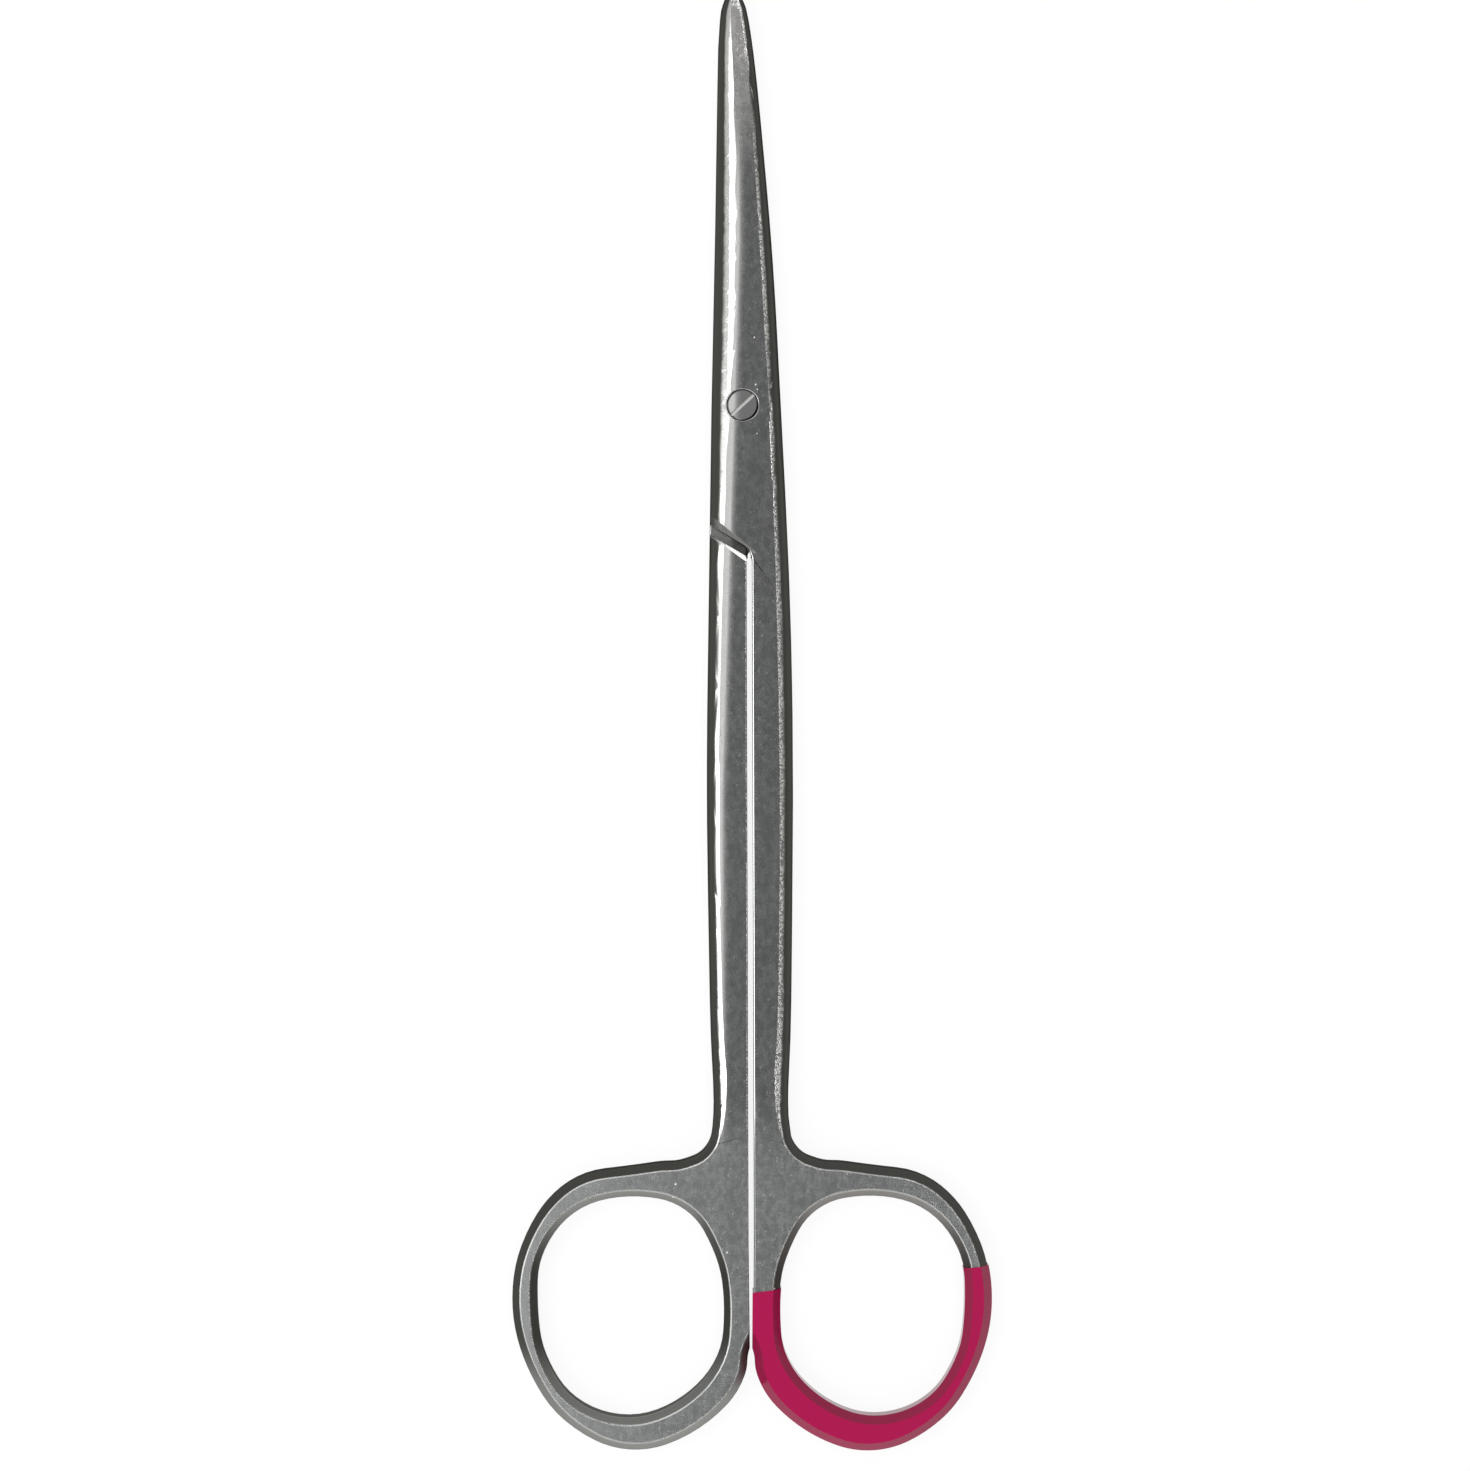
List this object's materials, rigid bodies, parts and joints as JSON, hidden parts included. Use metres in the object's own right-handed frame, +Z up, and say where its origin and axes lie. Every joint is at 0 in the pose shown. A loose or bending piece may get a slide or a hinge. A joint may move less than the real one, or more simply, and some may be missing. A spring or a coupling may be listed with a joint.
{
  "type": "dissecting scissors",
  "caption": "Straight dissecting scissors with finger rings, slim shanks, a lap joint on a slotted screw and blunt blades; the right ring has a thin pink coat.",
  "frame": {"origin": "under the middle of the closed scissors' bounding box, on the surface they lie on", "axes": "+Z up off the surface, +Y towards the blade tips, +X towards the coated finger ring"},
  "size_m": [0.0591, 0.1802, 0.0042],
  "materials": {
    "steel": "satin, ground by hand",
    "screw_steel": "satin",
    "coating": "gloss"
  },
  "bodies": {
    "lower_arm": {"lower_arm": "steel", "pivot_screw": "screw_steel"},
    "upper_arm": {"upper_arm": "steel", "ring_coating": "coating"}
  },
  "joints": [
    {"name": "pivot_hinge", "type": "hinge", "parent": "lower_arm", "child": "upper_arm", "pos_m": [-0.00078, 0.0386, 0.0021], "axis": [0, 0, 1], "range_deg": [0, 75]}
  ]
}
